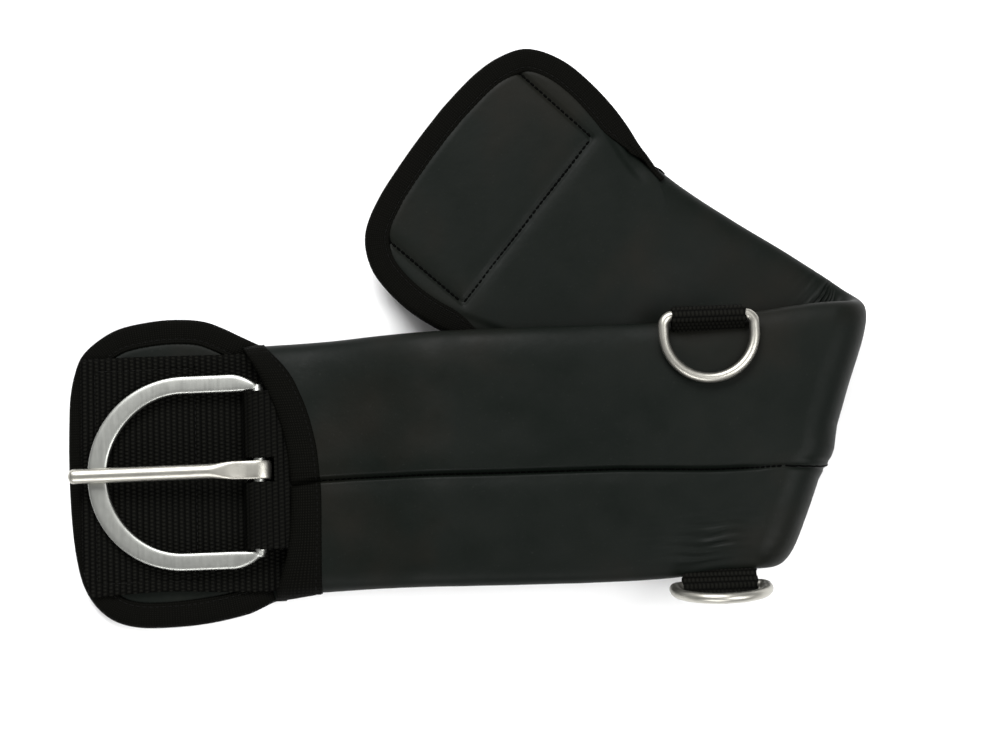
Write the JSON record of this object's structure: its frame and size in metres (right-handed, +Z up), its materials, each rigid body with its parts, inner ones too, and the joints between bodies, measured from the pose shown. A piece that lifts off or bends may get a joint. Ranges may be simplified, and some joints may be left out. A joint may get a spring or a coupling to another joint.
{
  "type": "padded neoprene cinch belt",
  "caption": "Padded neoprene strap folded in a V, with flared bound ends, a tongue buckle on webbing at each end and a D-ring on each edge at mid-length",
  "frame": {"origin": "on the plane that the belt lies on, below the middle of the near half at the station of its two rings", "axes": "+X along the near half from its buckle to the fold, +Z up, +Y completes the right-handed frame"},
  "size_m": [0.3958, 0.2749, 0.0647],
  "materials": {
    "neoprene": "smooth satin skin, near black with a slight green tint",
    "webbing": "ribbed black woven webbing",
    "binding": "knitted black edge tape",
    "satin_steel": "satin stainless steel with faint wear",
    "polished_steel": "polished stainless steel with fine scratches"
  },
  "bodies": {
    "near": {"near_sleeve": "neoprene", "near_core_web": "webbing", "near_pad_binding": "binding", "near_mouth_binding": "binding", "near_buckle_web": "webbing", "upper_ring_tab": "webbing", "lower_ring_tab": "webbing"},
    "fold": {"fold_sleeve": "neoprene"},
    "fold_web": {"fold_core_web": "webbing"},
    "far": {"far_sleeve": "neoprene", "far_core_web": "webbing", "far_pad_binding": "binding", "far_mouth_binding": "binding", "far_buckle_web": "webbing"},
    "near_frame": {"near_buckle_frame": "satin_steel"},
    "near_tongue": {"near_buckle_tongue": "polished_steel"},
    "far_frame": {"far_buckle_frame": "satin_steel"},
    "far_tongue": {"far_buckle_tongue": "polished_steel"},
    "upper_ring": {"upper_ring": "polished_steel"},
    "lower_ring": {"lower_ring": "polished_steel"}
  },
  "joints": [
    {"name": "fold_open", "type": "hinge", "parent": "near", "child": "fold", "pos_m": [0.045, 0, 0.01825], "axis": [-0.309, -0.9511, 0], "range_deg": [0, 90], "deforming": ["fold_sleeve", "fold_core_web"]},
    {"name": "fold_shift", "type": "slide", "parent": "fold", "child": "fold_web", "axis": [-0.309, -0.9511, 0], "range_m": [0, 0.012]},
    {"name": "far_open", "type": "hinge", "parent": "fold_web", "child": "far", "pos_m": [0.04871, 0.01141, 0.01825], "axis": [-0.309, -0.9511, 0], "range_deg": [0, 90]},
    {"name": "near_frame_lift", "type": "hinge", "parent": "near", "child": "near_frame", "pos_m": [-0.2195, 0, 0.0146], "axis": [0, 1, 0], "range_deg": [0, 70]},
    {"name": "near_tongue_lift", "type": "hinge", "parent": "near_frame", "child": "near_tongue", "pos_m": [-0.2195, 0, 0.0146], "axis": [0, 1, 0], "range_deg": [0, 50]},
    {"name": "far_frame_lift", "type": "hinge", "parent": "far", "child": "far_frame", "pos_m": [-0.05915, 0.09828, 0.0056], "axis": [-0.6613, -0.7501, 0], "range_deg": [0, 70]},
    {"name": "far_tongue_lift", "type": "hinge", "parent": "far_frame", "child": "far_tongue", "pos_m": [-0.05915, 0.09828, 0.0056], "axis": [-0.6613, -0.7501, 0], "range_deg": [0, 50]},
    {"name": "upper_ring_swing", "type": "hinge", "parent": "near", "child": "upper_ring", "pos_m": [0, 0.0645, 0.0393], "axis": [-1, 0, 0], "range_deg": [0, 175]},
    {"name": "lower_ring_swing", "type": "hinge", "parent": "near", "child": "lower_ring", "pos_m": [0, -0.0645, 0.03], "axis": [-1, 0, 0], "range_deg": [-118, 22]}
  ],
  "couplings": [
    {"joint": "fold_open", "follows": "fold_shift", "rad_per_m": 130.9},
    {"joint": "far_open", "follows": "fold_shift", "rad_per_m": 130.9}
  ]
}
